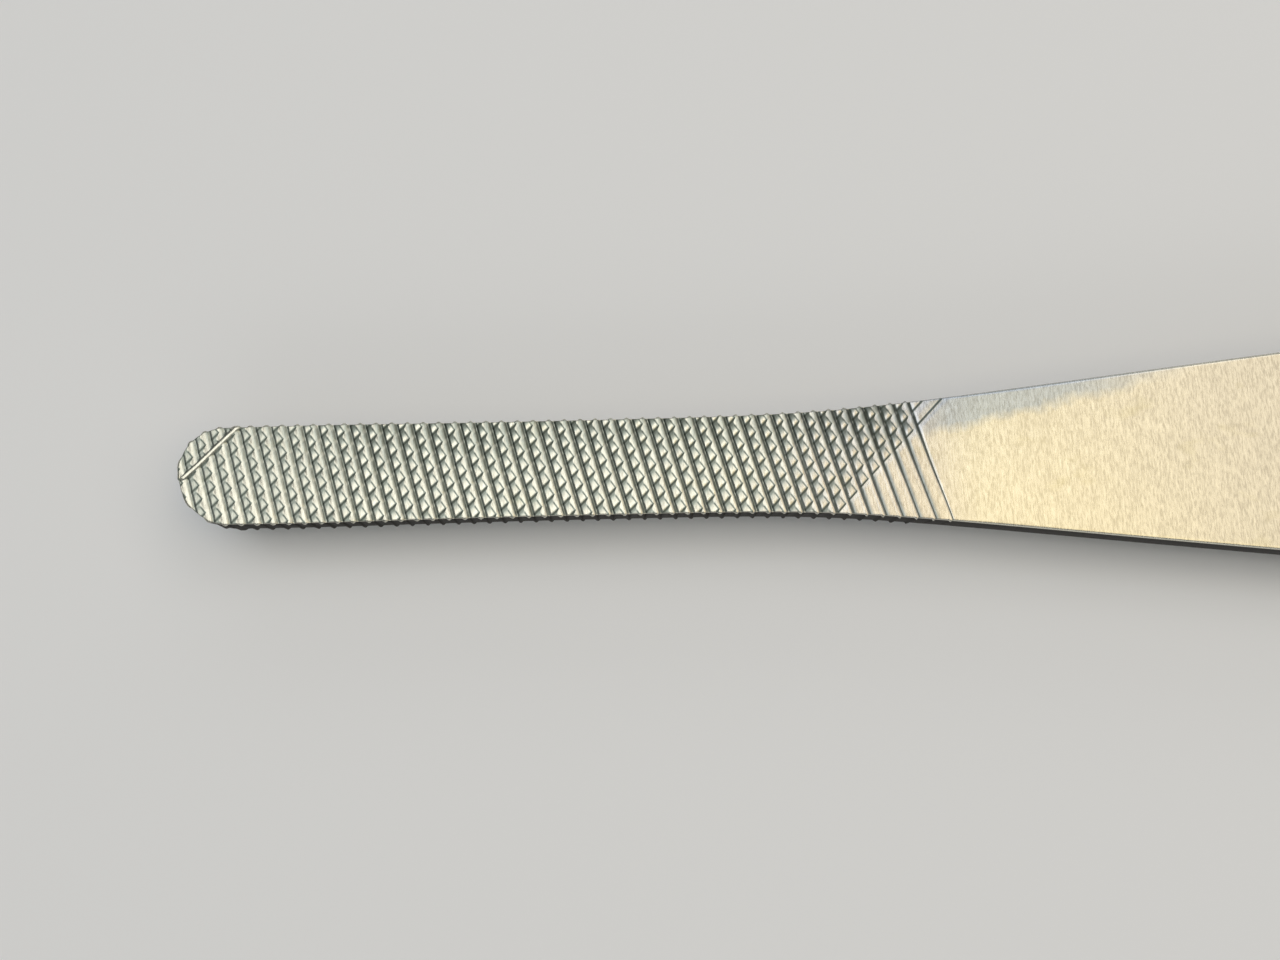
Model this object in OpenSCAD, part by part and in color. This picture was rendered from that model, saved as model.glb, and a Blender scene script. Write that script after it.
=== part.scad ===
// Small flat hand file with a rounded end, a flared shank and a full tang.
// Two wooden scales on fibre liners are riveted to the tang, and a brass tube at the butt takes a hook.
// Millimetres. +X runs from the tip to the butt, +Z is up, and Z = 0 is the lower scale's flat face.

/* [Blade] */
// Length of the whole tool
tool_length = 148; // [140:1:160]
// Thickness of the steel, the same from tip to butt
blade_thickness = 1.5; // [1.2:0.1:2]
// Half width of the blade where it is narrowest
blade_half_width = 2.25; // [2:0.01:2.6]
// How far the rounded end reaches back from the tip
tip_reach = 2.2; // [1.6:0.1:2.6]
// How far the rounded end leans towards +Y, for each millimetre off the centreline
tip_skew = 0.12; // [0:0.01:0.2]
// How much the blade swells behind the rounded end, each side
tip_swell = 0.06; // [0:0.01:0.2]
// Distance from the tip to where the shank starts to flare
flare_start = 30.1; // [28:0.1:36]
// Growth of the half width for each millimetre of the flare
flare_slope = 0.118; // [0.1:0.002:0.15]

/* [Teeth] */
// Distance from the tip to the last long tooth line, on the centreline
long_cut_length = 34.98; // [30:0.02:36]
// Distance from the tip to the last diagonal tooth line, on the centreline
diagonal_cut_length = 32.84; // [28:0.02:34]
// Spacing of the long tooth lines, square to the lines
long_pitch = 0.7055; // [0.6:0.0005:0.9]
// Spacing of the diagonal tooth lines, square to the lines
diagonal_pitch = 0.6; // [0.5:0.01:0.8]
// Lean of the long tooth lines from square across the blade
long_lean = 16; // [10:1:20]
// Lean of the diagonal tooth lines from square across the blade
diagonal_lean = 45; // [40:1:50]
// Depth of the long tooth lines
long_depth = 0.16; // [0.1:0.01:0.25]
// Depth of the diagonal tooth lines
diagonal_depth = 0.07; // [0.04:0.01:0.2]

/* [Handle] */
// Distance from the tip to the front of the scales
handle_start = 60; // [58:1:64]
// Middle half width of the handle
grip_half_width = 6.4; // [6:0.1:7]
// How far the handle's swells and waist depart from that, each side
grip_wave = 0.45; // [0:0.05:0.6]
// Distance from one swell to the next
grip_wave_length = 60; // [56:1:64]
// Distance from the tip to the first swell
first_swell = 75; // [72:1:78]
// Reach of the rounded butt
butt_reach = 11; // [9:0.5:13]
// Reach of the scales' bowed front edge
front_reach = 2.4; // [1.5:0.1:3]
// Thickness of one scale
scale_thickness = 2; // [1.6:0.1:3]
// Thickness of one fibre liner
liner_thickness = 0.4; // [0.3:0.1:0.8]
// Radius of the scales' rounded outer edge
scale_round = 1.3; // [0.8:0.1:1.5]

/* [Fittings] */
// Distances from the tip to the three rivets
rivet_stations = [71, 99, 126]; // [65:1:132]
// Radius of the flush rivet heads
rivet_head_radius = 2.5; // [2:0.1:3]
// Thickness of the flush rivet heads
rivet_head_thickness = 0.8; // [0.6:0.1:1]
// Outer radius of the rivet barrel
rivet_barrel_radius = 1.6; // [1.4:0.1:2]
// Radius of the rivet pin that is driven into the barrel
rivet_pin_radius = 1; // [0.8:0.1:1.1]
// Distance from the tip to the lanyard tube
tube_station = 139.5; // [138:0.5:141]
// Outer radius of the lanyard tube
tube_radius = 2.2; // [2:0.1:2.6]
// Bore radius of the lanyard tube
tube_bore_radius = 1.6; // [1.4:0.1:1.8]

/* [Hidden] */

flare_blend = 2.2;       // length over which the flare sets in
swell_centre = 6;        // where the blade's swell behind the tip is widest
swell_spread = 6;        // how far that swell reaches along the blade
skew_reach = 2.5;        // how far the rounded end's lean is felt along the blade
shoulder_blend = 0.5;    // softness of the corner between flare and handle
fit_gap = 0.03;          // radial clearance of every pin, barrel and head in its hole
overshoot = 0.02;        // how far a cutter passes the face that it opens
long_cut_width = 0.56;   // width of a long tooth line at the face
diagonal_cut_width = 0.36; // width of a diagonal tooth line at the face
cutter_length = 6 * blade_half_width; // long enough to leave the blade at both edges
flat_steps = 46;         // stations along an outline
round_steps = 12;        // stations on each rounded end
edge_steps = 5;          // rings on the scales' rounded edge
$fn = 64;

// Heights of the stack, from the lower scale's outer face up
lower_liner_z = scale_thickness;
blade_z = lower_liner_z + liner_thickness;
upper_liner_z = blade_z + blade_thickness;
upper_scale_z = upper_liner_z + liner_thickness;
handle_thickness = upper_scale_z + scale_thickness;
barrel_grip = 0.65;      // how far the barrel reaches into the upper scale
barrel_length = upper_scale_z + barrel_grip;
barrel_floor = 1.4;      // metal left under the barrel's blind bore
pin_gap = 0.2;           // between the pin's end and the bore's floor

// A station is a distance from the tip. The origin is under the middle of the tool.
function x_at(station) = station - tool_length / 2;

// Half widths. The blade's straight part opens smoothly into the flare, and the flare runs into the handle.
function flare_growth(s) = flare_slope * flare_blend * ln(1 + exp((s - flare_start) / flare_blend));
function swell(s) = tip_swell * exp(-pow((s - swell_centre) / swell_spread, 2));
function shank_half(s) = blade_half_width + swell(s) + flare_growth(s);
function grip_half(s) = grip_half_width + grip_wave * cos(360 * (s - first_swell) / grip_wave_length);
function soft_minimum(a, b) = -shoulder_blend * ln(exp(-a / shoulder_blend) + exp(-b / shoulder_blend));
function body_half(s) = soft_minimum(shank_half(s), grip_half(s));

// Share of the full half width within a rounded end, at a distance in from its outermost point
function end_share(distance, reach) = distance >= reach ? 1 : sqrt(1 - pow(1 - distance / reach, 2));

// Stations from one end to the other, packed closer together on the rounded ends
function stations(first, first_reach, last, last_reach) = concat(
    [for (i = [0 : round_steps - 1]) first + first_reach * (1 - cos(90 * i / round_steps))],
    [for (i = [0 : flat_steps]) first + first_reach
        + (last - last_reach - first - first_reach) * i / flat_steps],
    [for (i = [round_steps - 1 : -1 : 0]) last - last_reach * (1 - cos(90 * i / round_steps))]
);

// Points of one long edge, tip end first, from the centreline out and back to it
function edge_points(first, first_reach, last, last_reach) = [
    for (s = stations(first, first_reach, last, last_reach))
        [x_at(s), body_half(s) * end_share(s - first, first_reach) * end_share(last - s, last_reach)]
];

function mirrored(points) = [for (i = [len(points) - 2 : -1 : 1]) [points[i][0], -points[i][1]]];

// The rounded end's lean dies away a few millimetres behind the tip, so it leaves the handle's outlines alone
function skew_at(x) = tip_skew * exp(-pow((x - x_at(0)) / skew_reach, 2));
function closed_outline(edge) = [for (p = concat(edge, mirrored(edge))) [p[0] - skew_at(p[0]) * p[1], p[1]]];

steel_edge = edge_points(0, tip_reach, tool_length, butt_reach);
handle_edge = edge_points(handle_start, front_reach, tool_length, butt_reach);

// Moves each point of an edge inwards, square to the edge
function inset_edge(edge, depth) = [
    for (i = [0 : len(edge) - 1])
        let (before = i == 0 ? [edge[1][0], -edge[1][1]] : edge[i - 1])
        let (after = i == len(edge) - 1 ? [edge[i - 1][0], -edge[i - 1][1]] : edge[i + 1])
        let (run = (after - before) / norm(after - before))
        edge[i] + depth * [run[1], -run[0]]
];

// One smooth-edged plate: its flat inner face is at Z = 0 and its flat outer face at Z = thickness
module rounded_plate(edge, thickness, radius) {
    levels = concat(
        [[0, 0]],
        [for (i = [0 : edge_steps])
            [radius * (1 - cos(90 * i / edge_steps)), thickness - radius + radius * sin(90 * i / edge_steps)]]
    );
    rings = [for (level = levels) closed_outline(inset_edge(edge, level[0]))];
    points = [for (i = [0 : len(levels) - 1]) for (p = rings[i]) [p[0], p[1], levels[i][1]]];
    count = len(rings[0]);
    top = count * (len(levels) - 1);
    last = len(edge) - 1;
    walls = [for (i = [0 : len(levels) - 2]) for (j = [0 : count - 1])
        let (a = i * count + j, b = i * count + (j + 1) % count)
        for (f = [[a, a + count, b + count], [a, b + count, b]]) f];
    // Each end face is a ladder between the two long edges, so a waist does no harm
    ladder = [for (j = [0 : last - 1])
        let (near = j == 0 ? 0 : count - j, far = j == last - 1 ? last : count - j - 1)
        for (f = [[j, j + 1, far], [j, far, near]]) if (f[1] != f[2] && f[0] != f[2]) f];
    top_cap = [for (f = ladder) [f[2] + top, f[1] + top, f[0] + top]];
    polyhedron(points, concat(walls, ladder, top_cap));
}

module flat_plate(edge, thickness)
    linear_extrude(thickness) polygon(closed_outline(edge));

module hole(station, radius, from_z, to_z)
    translate([x_at(station), 0, from_z - overshoot])
        cylinder(h = to_z - from_z + 2 * overshoot, r = radius);

// Clearance holes for everything that passes through a layer of the handle
module handle_holes(from_z, to_z) {
    for (s = rivet_stations)
        hole(s, rivet_barrel_radius + fit_gap, from_z, to_z);
    hole(tube_station, tube_radius + fit_gap, from_z, to_z);
}

// One straight V groove across the blade's upper face
module tooth_line(station, lean, width, depth)
    translate([x_at(station), 0, blade_thickness])
        rotate([90, 0, lean])
            linear_extrude(cutter_length, center = true)
                polygon([[-width / 2, overshoot], [width / 2, overshoot], [0, -depth]]);

// Both sets of tooth lines of one face, counted forward from the heel
module tooth_lines() {
    long_step = long_pitch / cos(long_lean);
    diagonal_step = diagonal_pitch / cos(diagonal_lean);
    for (s = [long_cut_length : -long_step : long_step / 2])
        tooth_line(s, long_lean, long_cut_width, long_depth);
    for (s = [diagonal_cut_length : -diagonal_step : -blade_half_width / 2])
        tooth_line(s, -diagonal_lean, diagonal_cut_width, diagonal_depth);
}

module file_blade()
    color("lightgray") translate([0, 0, blade_z])
        difference() {
            flat_plate(steel_edge, blade_thickness);
            tooth_lines();
            translate([0, 0, blade_thickness]) rotate([180, 0, 0]) tooth_lines();
            handle_holes(0, blade_thickness);
        }

module liner(z)
    color("firebrick") translate([0, 0, z])
        difference() {
            flat_plate(handle_edge, liner_thickness);
            handle_holes(0, liner_thickness);
        }

// A scale, outer face up, with its inner face at Z = 0
module scale_plate()
    difference() {
        rounded_plate(handle_edge, scale_thickness, scale_round);
        handle_holes(0, scale_thickness);
        for (s = rivet_stations)
            hole(s, rivet_head_radius + fit_gap, scale_thickness - rivet_head_thickness, scale_thickness);
    }

module lower_scale()
    color("saddlebrown") translate([0, 0, scale_thickness]) mirror([0, 0, 1]) scale_plate();

module upper_scale()
    color("saddlebrown") translate([0, 0, upper_scale_z]) scale_plate();

// Female half of a rivet: its head is flush with the lower scale and its blind bore opens upwards
module rivet_barrel(station)
    color("gold") translate([x_at(station), 0, 0])
        difference() {
            union() {
                cylinder(h = rivet_head_thickness, r = rivet_head_radius);
                cylinder(h = barrel_length, r = rivet_barrel_radius);
            }
            translate([0, 0, barrel_floor]) cylinder(h = barrel_length, r = rivet_pin_radius + fit_gap);
        }

// Male half of a rivet: its head is flush with the upper scale and its shank fills the barrel
module rivet_pin(station)
    color("gold") translate([x_at(station), 0, 0]) {
        translate([0, 0, handle_thickness - rivet_head_thickness])
            cylinder(h = rivet_head_thickness, r = rivet_head_radius);
        translate([0, 0, barrel_floor + pin_gap])
            cylinder(h = handle_thickness - barrel_floor - pin_gap - rivet_head_thickness / 2, r = rivet_pin_radius);
    }

module lanyard_tube()
    color("gold") translate([x_at(tube_station), 0, 0])
        difference() {
            cylinder(h = handle_thickness, r = tube_radius);
            translate([0, 0, -overshoot]) cylinder(h = handle_thickness + 2 * overshoot, r = tube_bore_radius);
        }

file_blade();
liner(lower_liner_z);  // lower_liner
liner(upper_liner_z);  // upper_liner
lower_scale();
upper_scale();
rivet_barrel(rivet_stations[0]);  // front_rivet_barrel
rivet_barrel(rivet_stations[1]);  // middle_rivet_barrel
rivet_barrel(rivet_stations[2]);  // rear_rivet_barrel
rivet_pin(rivet_stations[0]);  // front_rivet_pin
rivet_pin(rivet_stations[1]);  // middle_rivet_pin
rivet_pin(rivet_stations[2]);  // rear_rivet_pin
lanyard_tube();
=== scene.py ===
"""Looks of a small flat file with a riveted wooden handle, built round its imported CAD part."""
import math

import bpy
import numpy as np
from mathutils import Matrix, Vector


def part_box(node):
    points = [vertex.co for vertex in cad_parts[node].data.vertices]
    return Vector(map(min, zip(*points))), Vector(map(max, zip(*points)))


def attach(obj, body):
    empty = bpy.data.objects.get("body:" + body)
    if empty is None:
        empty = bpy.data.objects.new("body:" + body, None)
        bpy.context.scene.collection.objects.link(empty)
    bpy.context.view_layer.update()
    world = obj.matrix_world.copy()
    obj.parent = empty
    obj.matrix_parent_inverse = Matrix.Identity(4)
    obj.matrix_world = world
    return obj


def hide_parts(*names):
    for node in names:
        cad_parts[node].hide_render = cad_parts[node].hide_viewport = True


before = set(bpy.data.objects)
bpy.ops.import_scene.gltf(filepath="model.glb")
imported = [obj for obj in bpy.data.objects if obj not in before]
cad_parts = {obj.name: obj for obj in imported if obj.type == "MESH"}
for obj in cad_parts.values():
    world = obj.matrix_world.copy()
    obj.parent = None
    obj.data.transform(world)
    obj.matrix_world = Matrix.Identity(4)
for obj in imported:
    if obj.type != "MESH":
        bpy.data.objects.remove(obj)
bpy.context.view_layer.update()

MM = 0.001  # shapes are worked out in millimetres and written to meshes in metres

# ---------------------------------------------------------------- places, read from the frame
steel_low, steel_high = (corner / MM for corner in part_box("file_blade"))
TIP_X = steel_low.x
TOOL_LENGTH = steel_high.x - steel_low.x
STEEL_BOTTOM, STEEL_TOP = steel_low.z, steel_high.z
HANDLE_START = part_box("upper_scale")[0].x / MM - TIP_X
HANDLE_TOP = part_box("upper_scale")[1].z / MM
LAYERS = {name: [corner.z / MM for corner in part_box(name)]
          for name in ("lower_scale", "lower_liner", "upper_liner", "upper_scale")}


def station_of(node):
    """Distance in millimetres from the tip to the middle of a CAD node."""
    low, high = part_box(node)
    return (low.x + high.x) / 2 / MM - TIP_X


RIVETS = {place: station_of(place + "_rivet_pin") for place in ("front", "middle", "rear")}
TUBE_STATION = station_of("lanyard_tube")

# ---------------------------------------------------------------- driving dimensions, as in the CAD part
TIP_REACH, BUTT_REACH, FRONT_REACH = 2.2, 11.0, 2.4
TIP_SKEW, SKEW_REACH = 0.12, 2.5                 # the rounded end leans towards +Y
BLADE_HALF, TIP_SWELL, SWELL_CENTRE, SWELL_SPREAD = 2.25, 0.06, 6.0, 6.0
FLARE_START, FLARE_SLOPE, FLARE_BLEND, SHOULDER_BLEND = 30.1, 0.118, 2.2, 0.5
GRIP_HALF, GRIP_WAVE, GRIP_WAVE_LENGTH, FIRST_SWELL = 6.4, 0.45, 60.0, 75.0

LONG_CUT, DIAGONAL_CUT = 34.92, 32.84             # last tooth lines, on the centreline
LONG_PITCH, DIAGONAL_PITCH = 0.7055, 0.60        # square to the lines
LONG_LEAN, DIAGONAL_LEAN = math.radians(16), math.radians(45)
LONG_DEPTH, DIAGONAL_DEPTH = 0.09, 0.024
LONG_STEP = LONG_PITCH / math.cos(LONG_LEAN)     # spacing along the blade
BURR_BULGE = 0.085                               # how far the long burrs push the blade's edge outwards
PROUD_LINE = 38.3                                # the diagonal line whose burr stands proud
PROUD_HALF, PROUD_HEIGHT, PROUD_FOOT = 0.12, 0.06, 0.02    # its half width, its height, and its foot's depth
PROUD_REACH, PROUD_SIDE = 3.1, -0.15             # it ends at this station, and starts this far to one side

HEAD_RADIUS, HEAD_THICKNESS, BARREL_RADIUS, PIN_RADIUS = 2.5, 0.8, 1.6, 1.0
TUBE_RADIUS, TUBE_BORE, FIT_GAP = 2.2, 1.6, 0.03
BARREL_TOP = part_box("front_rivet_barrel")[1].z / MM
BARREL_FLOOR = 1.4                               # of the barrel's blind bore
PIN_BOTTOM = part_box("front_rivet_pin")[0].z / MM
RIVET_EDGE = 0.06                                # the round edges of a rivet's head and shank
HEAD_DISH = ((0, 0.012), (1.2, 0.004))           # radius, and how far sanding sank the head there


# ---------------------------------------------------------------- outlines
def steady(value):
    """The same value at every station."""
    return lambda s: np.full(len(s), value)


def blend_at(station, width, before, after):
    """A value that changes from before to after round a station."""
    return lambda s: before + (after - before) / (1 + np.exp(-(s - station) / width))


def half_width(s):
    """Half width of the tool at a station, before its ends are rounded."""
    swell = TIP_SWELL * np.exp(-((s - SWELL_CENTRE) / SWELL_SPREAD) ** 2)
    flare = FLARE_SLOPE * FLARE_BLEND * np.log1p(np.exp((s - FLARE_START) / FLARE_BLEND))
    shank = BLADE_HALF + swell + flare
    grip = GRIP_HALF + GRIP_WAVE * np.cos(2 * np.pi * (s - FIRST_SWELL) / GRIP_WAVE_LENGTH)
    return -SHOULDER_BLEND * np.log(np.exp(-shank / SHOULDER_BLEND) + np.exp(-grip / SHOULDER_BLEND))


def end_share(distance, reach):
    """Share of the half width within a rounded end."""
    inside = np.clip(1 - distance / reach, 0, 1)
    return np.sqrt(1 - inside ** 2)


def outline(first, first_reach, last, last_reach, density=12):
    """A fine closed outline, from the first end along +Y and back along -Y, with its outward normals."""
    turn = np.linspace(0, np.pi / 2, 240, endpoint=False)
    middle = np.linspace(first + first_reach, last - last_reach, int((last - first) * density))
    s = np.concatenate([
        first + first_reach * (1 - np.cos(turn)),
        middle,
        (last - last_reach * (1 - np.cos(turn)))[::-1],
    ])
    y = half_width(s) * end_share(s - first, first_reach) * end_share(last - s, last_reach)
    points = np.stack([np.concatenate([s, s[-2:0:-1]]), np.concatenate([y, -y[-2:0:-1]])], 1)
    points[:, 0] -= TIP_SKEW * points[:, 1] * np.exp(-(points[:, 0] / SKEW_REACH) ** 2)
    along = np.roll(points, -1, 0) - np.roll(points, 1, 0)
    along /= np.linalg.norm(along, axis=1)[:, None]
    return points, np.stack([-along[:, 1], along[:, 0]], 1)


# ---------------------------------------------------------------- meshes
def add_object(name, points, faces, attributes=None, sharp_angle=None):
    """A mesh object from millimetre points, whose stations are turned into the row frame."""
    points = np.asarray(points, float).copy()
    points[:, 0] += TIP_X
    mesh = bpy.data.meshes.new(name)
    mesh.from_pydata((points * MM).tolist(), [], [list(map(int, f)) for f in faces])
    mesh.validate()
    mesh.shade_smooth()
    if sharp_angle is not None:
        mesh.set_sharp_from_angle(angle=math.radians(sharp_angle))
    for key, values in (attributes or {}).items():
        layer = mesh.attributes.new(key, "FLOAT", "POINT")
        layer.data.foreach_set("value", np.asarray(values, np.float32))
    piece = bpy.data.objects.new(name, mesh)
    bpy.context.scene.collection.objects.link(piece)
    return piece


class Shell:
    """The points and faces of a mesh, gathered ring by ring."""

    def __init__(self):
        self.points, self.faces, self.count = [], [], 0

    def add(self, points):
        """Adds points and gives their numbers."""
        self.points.append(points)
        self.count += len(points)
        return np.arange(self.count - len(points), self.count)

    def join(self, upper, lower):
        """Joins two closed rings with a band of faces."""
        self.faces.append(np.column_stack([lower, np.roll(lower, -1), np.roll(upper, -1), upper]))


class Plate:
    """A plate made of straight lines across the tool. Its top and bottom are grids with the same lines,
    joined by rounded edges, and round holes are let into both."""

    END_MARGIN = 0.008    # how far the first and last lines stay inside the outline's ends
    HOLE_MARGIN = 0.45    # how far the opening in the grid stands off a hole

    def __init__(self, loop, stations, across, shear=np.zeros_like, edge_in=steady(0.03)):
        points, normals = loop
        inset = edge_in(points[:, 0])
        inner = points - normals * inset[:, None]
        # t is the station where a point's line crosses the centreline, found step by step as the lean changes
        t = inner[:, 0].copy()
        for _ in range(30):
            t = inner[:, 0] + inner[:, 1] * shear(t)
        turn = int(np.argmin(t))
        inner, normals, inset, t = (np.roll(a, -turn, 0) for a in (inner, normals, inset, t))
        far = int(np.argmax(t))
        packed = np.concatenate([inner, normals, inset[:, None]], 1)
        packed = np.concatenate([packed, packed[:1]])
        t = np.append(t, t[0])
        first, last = t[0] + self.END_MARGIN, t[far] - self.END_MARGIN
        keep = (stations > first) & (stations < last)
        self.t = np.concatenate([[first], stations[keep], [last]])
        high = self._cross(t[:far + 1], packed[:far + 1])
        low = self._cross(t[far:][::-1], packed[far:][::-1])
        self.lines, self.across = len(self.t) - 1, across
        share = np.linspace(0, 1, across + 1)[None, :, None]
        self.grid = low[:, None, :2] * (1 - share) + high[:, None, :2] * share
        ends = np.array([[-1, -shear(self.t[:1])[0]], [1, shear(self.t[-1:])[0]]])
        ends /= np.linalg.norm(ends, axis=1)[:, None]
        self.rim = self._ring(0, self.lines, 0, across)
        self.rim_normal = np.array([
            low[i, 2:4] if j == 0 else high[i, 2:4] if j == across else ends[0 if i == 0 else 1]
            for i, j in self.rim
        ])
        self.rim_in = np.array([low[i, 4] if 2 * j < across else high[i, 4] for i, j in self.rim])

    def _cross(self, t, packed):
        """Where each line crosses one side of the inner outline."""
        t = np.maximum.accumulate(t + np.arange(len(t)) * 1e-9)
        return np.stack([np.interp(self.t, t, column) for column in packed.T], 1)

    @staticmethod
    def _ring(i0, i1, j0, j1):
        """The grid points round a block of the grid, counter-clockwise from above."""
        ring = [(i, j0) for i in range(i0, i1)] + [(i1, j) for j in range(j0, j1)]
        ring += [(i, j1) for i in range(i1, i0, -1)] + [(i0, j) for j in range(j1, j0, -1)]
        return np.array(ring)

    def _opening(self, station, reach):
        """The block of the grid that is left open for a hole."""
        i0, i1 = (int(np.abs(self.t - (station + side * reach)).argmin()) for side in (-1, 1))
        middle = self.grid[(i0 + i1) // 2, :, 1]
        j0, j1 = (int(np.abs(middle - side * reach).argmin()) for side in (-1, 1))
        return i0, i1, j0, j1

    def build(self, name, high, low, high_edge, low_edge, holes=(), relief=None, bulge=None, attributes=None,
              sharp_angle=None):
        """high and low are the heights of the flat faces, relief is what stands up on each, and bulge how far
        each pushes the edge out. An edge is (angles of its rings, how far it rounds down at a station). Each
        hole is (station, [(radius, height), ...]), from the top to the bottom. The face attribute falls from
        1 on the faces to 0 halfway round the edge and in the holes."""
        rows, columns = self.lines + 1, self.across + 1
        flat = np.zeros((rows, columns))
        relief, bulge = relief or (flat, flat), bulge or (flat, flat)
        attributes = {"face": (flat + 1, flat + 1), **(attributes or {})}
        extra = {key: [] for key in attributes}
        plan = self.grid.reshape(-1, 2)
        shell = Shell()
        top = shell.add(np.column_stack([plan, (high + relief[0]).ravel()])).reshape(rows, columns)
        bottom = shell.add(np.column_stack([plan, (low - relief[1]).ravel()])).reshape(rows, columns)

        i, j = self.rim.T
        rim = self.grid[i, j]
        loops = [top[i, j]]
        edges = ((1, high, high_edge), (-1, low, low_edge))
        for which, (side, level, (angles, edge_down)) in enumerate(edges):
            down = edge_down(rim[:, 0])
            for angle in angles[::side]:
                fall, out = math.cos(math.radians(angle)), math.sin(math.radians(angle))
                spread = self.rim_in * out + bulge[which][i, j] * out
                z = level + side * (relief[which][i, j] * fall - down * (1 - fall))
                loops.append(shell.add(np.column_stack([rim + self.rim_normal * spread[:, None], z])))
                for key, layers in attributes.items():
                    extra[key].append(layers[which][i, j] * (fall if key == "face" else 1))
        loops.append(bottom[i, j])
        for upper, lower in zip(loops, loops[1:]):
            shell.join(upper, lower)

        solid = np.ones((self.lines, self.across), bool)
        for station, profile in holes:
            i0, i1, j0, j1 = self._opening(station, profile[0][0] + self.HOLE_MARGIN)
            solid[i0:i1, j0:j1] = False
            i, j = self._ring(i0, i1, j0, j1).T
            way = self.grid[i, j] - (station, 0)
            way /= np.linalg.norm(way, axis=1)[:, None]
            rings = [top[i, j]]
            for radius, z in profile:
                rings.append(shell.add(np.column_stack([way * radius + (station, 0), np.full(len(way), z)])))
            rings.append(bottom[i, j])
            # A hole's wall faces inwards, so its bands are turned over
            for upper, lower in zip(rings, rings[1:]):
                shell.join(lower, upper)
            for values in extra.values():
                values.append(np.zeros(len(way) * len(profile)))

        i, j = np.nonzero(solid)
        quads = np.column_stack([top[i, j], top[i + 1, j], top[i + 1, j + 1], top[i, j + 1]])
        faces = np.concatenate([*shell.faces, quads, quads[:, ::-1] + rows * columns])
        used, faces = np.unique(faces, return_inverse=True)
        layers = {
            key: np.concatenate([upper.ravel(), lower.ravel()] + extra[key])[used]
            for key, (upper, lower) in attributes.items()
        }
        return add_object(name, np.concatenate(shell.points)[used], faces.reshape(-1, 4), layers, sharp_angle)


def lathe(name, station, profile, closed=False, segments=96, sharp_angle=35):
    """A turned piece: (radius, height) points, from axis to axis, or a closed section off the axis."""
    turn = np.linspace(0, 2 * np.pi, segments, endpoint=False)
    points, rings = [], []
    for radius, z in profile:
        rings.append(len(points) + np.arange(1 if radius == 0 else segments))
        if radius == 0:
            points.append((station, 0, z))
        else:
            points += [(station + radius * math.cos(a), radius * math.sin(a), z) for a in turn]
    faces = []
    pairs = list(zip(rings, rings[1:])) + ([(rings[-1], rings[0])] if closed else [])
    for low, high in pairs:
        for k in range(segments):
            n = (k + 1) % segments
            if len(low) == 1:
                faces.append((low[0], high[n], high[k]))
            elif len(high) == 1:
                faces.append((low[k], low[n], high[0]))
            else:
                faces.append((low[k], low[n], high[n], high[k]))
    return add_object(name, points, faces, sharp_angle=sharp_angle)


# ---------------------------------------------------------------- teeth
def value_noise(x, y, rng, size=128):
    """Smooth noise from -1 to 1, with one random value at each whole x and y."""
    table = rng.uniform(-1, 1, (size, size))
    x0, y0 = np.floor(x).astype(int), np.floor(y).astype(int)
    fx, fy = x - x0, y - y0
    fx, fy = fx * fx * (3 - 2 * fx), fy * fy * (3 - 2 * fy)

    def at(i, j):
        return table[(x0 + i) % size, (y0 + j) % size]

    return (at(0, 0) * (1 - fx) + at(1, 0) * fx) * (1 - fy) + (at(0, 1) * (1 - fx) + at(1, 1) * fx) * fy


def unevenness(amount, x, y, seed):
    """What a line's strength is multiplied by, so that no two lines are alike."""
    return 1 + amount * value_noise(x, y, np.random.default_rng(seed))


def cut_profile(left, right, strength_left, strength_right, depth, rise, drop, burr_width, burr_height):
    """Height between two tooth lines, and the share of burr. left is the distance from the line towards the
    tip, and right from the one towards the heel. rise and drop are the widths of a cut's two flanks, on its
    heel side and on its tip side, and past the drop stands the burr that the cut threw up."""
    height = -depth * strength_left * np.clip(1 - left / (rise * strength_left + 1e-4), 0, 1) ** 1.15
    drop_width = drop * (0.5 + 0.5 * strength_right)
    height = np.minimum(height, -depth * strength_right * np.clip(1 - right / drop_width, 0, 1))
    along = np.clip((right - drop_width) / (burr_width * (0.35 + 0.65 * strength_right)), 0, 1)
    burr = np.sin(np.pi * along ** 0.85) ** 0.7 * np.minimum(1, 4 * strength_right)
    return height + burr_height * strength_right * burr, burr


def count_lines(s, y, last, lean, pitch, wander):
    """How many pitches lie between a point and the last of a set of leaning lines, the number of the line
    before it, and the distance from that line. Lines are counted from the heel towards the tip."""
    line = -((s - last) * math.cos(lean) + y * math.sin(lean) + wander) / pitch
    number = np.floor(line)
    return line, number, (line - number) * pitch


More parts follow.
